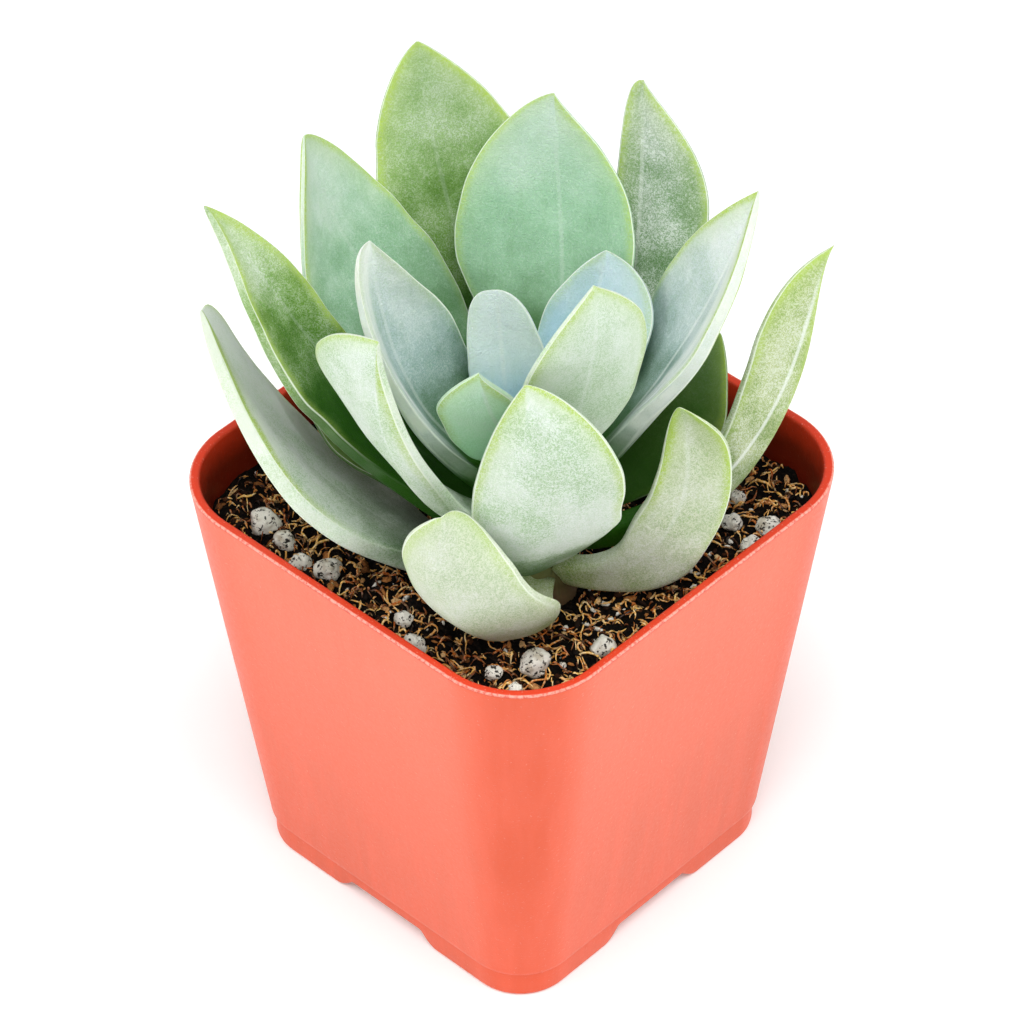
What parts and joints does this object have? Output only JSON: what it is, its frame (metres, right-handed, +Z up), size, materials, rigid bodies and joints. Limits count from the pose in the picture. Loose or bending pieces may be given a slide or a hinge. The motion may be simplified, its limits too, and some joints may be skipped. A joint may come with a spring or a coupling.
{
  "type": "potted mountain fire senecio",
  "caption": "Young fleshy-leaved senecio, a loose rosette of pointed blue-green leaves on a short stem, in a small square salmon plastic pot with rounded corners.",
  "frame": {"origin": "centre of the pot's base, on the surface that it stands on", "axes": "+Z up; X and Y along the pot's sides; the rosette leans towards +X and -Y"},
  "size_m": [0.0634, 0.0644, 0.1108],
  "materials": {
    "pot": "satin",
    "soil": "rough",
    "stem": "matte",
    "leaf_green": "matte",
    "leaf_mint": "matte",
    "leaf_blue": "matte",
    "leaf_pale": "matte",
    "perlite": "rough"
  },
  "bodies": {
    "root": {"pot": "pot", "potting_soil": "soil", "stem": "stem", "leaf_back_left_tall": "leaf_green", "leaf_far_left_upper": "leaf_green", "leaf_far_left_lower": "leaf_green", "leaf_low_left_back": "leaf_green", "leaf_low_right_back": "leaf_green", "leaf_back_centre": "leaf_mint", "leaf_left_back": "leaf_mint", "leaf_right_back": "leaf_mint", "leaf_inner_front": "leaf_mint", "leaf_right_folded": "leaf_blue", "leaf_inner_right_back": "leaf_blue", "leaf_inner_oval": "leaf_blue", "leaf_inner_left": "leaf_blue", "leaf_far_right": "leaf_pale", "leaf_right_front_low": "leaf_pale", "leaf_front_left_low": "leaf_pale", "leaf_front_centre": "leaf_pale", "leaf_inner_right_front": "leaf_pale", "leaf_left_front": "leaf_pale", "bud": "leaf_green", "perlite_01": "perlite", "perlite_02": "perlite", "perlite_03": "perlite", "perlite_04": "perlite", "perlite_05": "perlite", "perlite_06": "perlite", "perlite_07": "perlite", "perlite_08": "perlite", "perlite_09": "perlite", "perlite_10": "perlite", "perlite_11": "perlite", "perlite_12": "perlite", "perlite_13": "perlite", "perlite_14": "perlite"}
  },
  "joints": []
}
